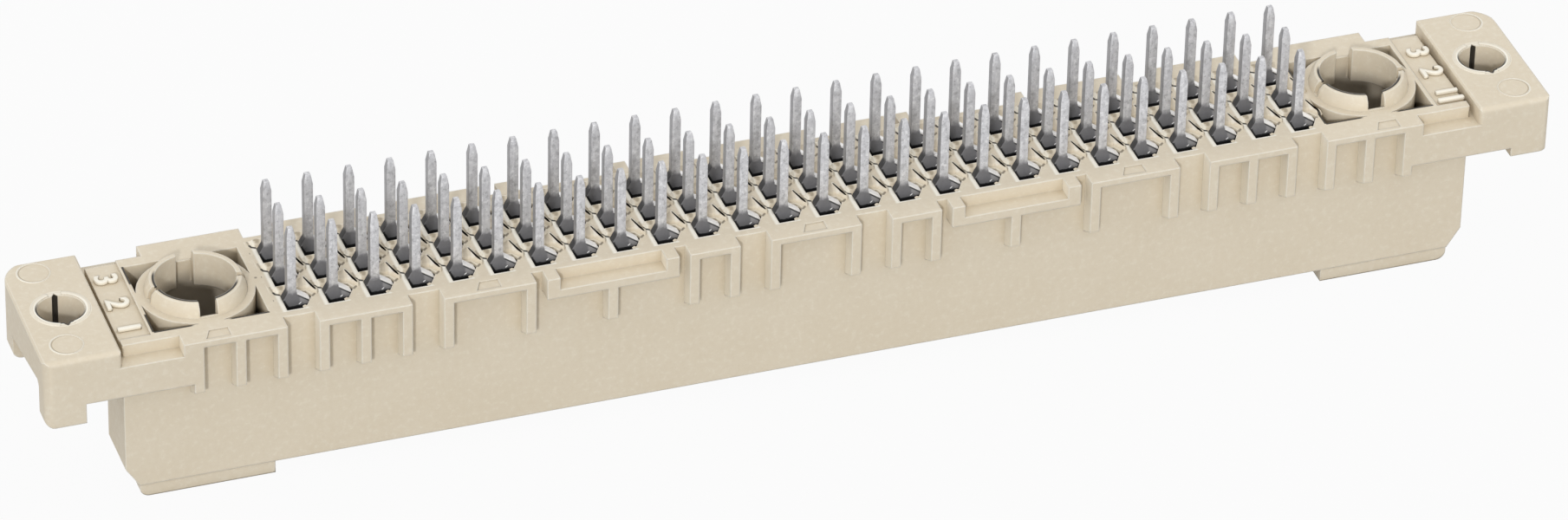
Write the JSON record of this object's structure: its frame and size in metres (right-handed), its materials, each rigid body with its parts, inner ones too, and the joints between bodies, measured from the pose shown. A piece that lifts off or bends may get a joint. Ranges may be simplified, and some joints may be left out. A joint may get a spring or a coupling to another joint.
{
  "type": "multi-pin connector",
  "caption": "Long rectangular female board connector with rows of square termination pins, a slotted cavity for a special contact near each end and a mounting hole in each end block.",
  "frame": {"origin": "middle of the footprint, on the surface that the two mating lips stand on", "axes": "+X along the contact rows to the right as pictured, +Y across the rows to the back, +Z from the mating face to the termination pins"},
  "size_m": [0.0948, 0.0106, 0.0163],
  "materials": {
    "housing": "moulded glass-filled polyester, warm grey-beige, satin",
    "contacts": "copper alloy with dull tin plating, grey"
  },
  "bodies": {
    "root": {"housing": "housing", "contact_column_01": "contacts", "contact_column_02": "contacts", "contact_column_03": "contacts", "contact_column_04": "contacts", "contact_column_05": "contacts", "contact_column_06": "contacts", "contact_column_07": "contacts", "contact_column_08": "contacts", "contact_column_09": "contacts", "contact_column_10": "contacts", "contact_column_11": "contacts", "contact_column_12": "contacts", "contact_column_13": "contacts", "contact_column_14": "contacts", "contact_column_15": "contacts", "contact_column_16": "contacts", "contact_column_17": "contacts", "contact_column_18": "contacts", "contact_column_19": "contacts", "contact_column_20": "contacts", "contact_column_21": "contacts", "contact_column_22": "contacts", "contact_column_23": "contacts", "contact_column_24": "contacts", "contact_column_25": "contacts", "contact_column_26": "contacts"}
  },
  "joints": []
}
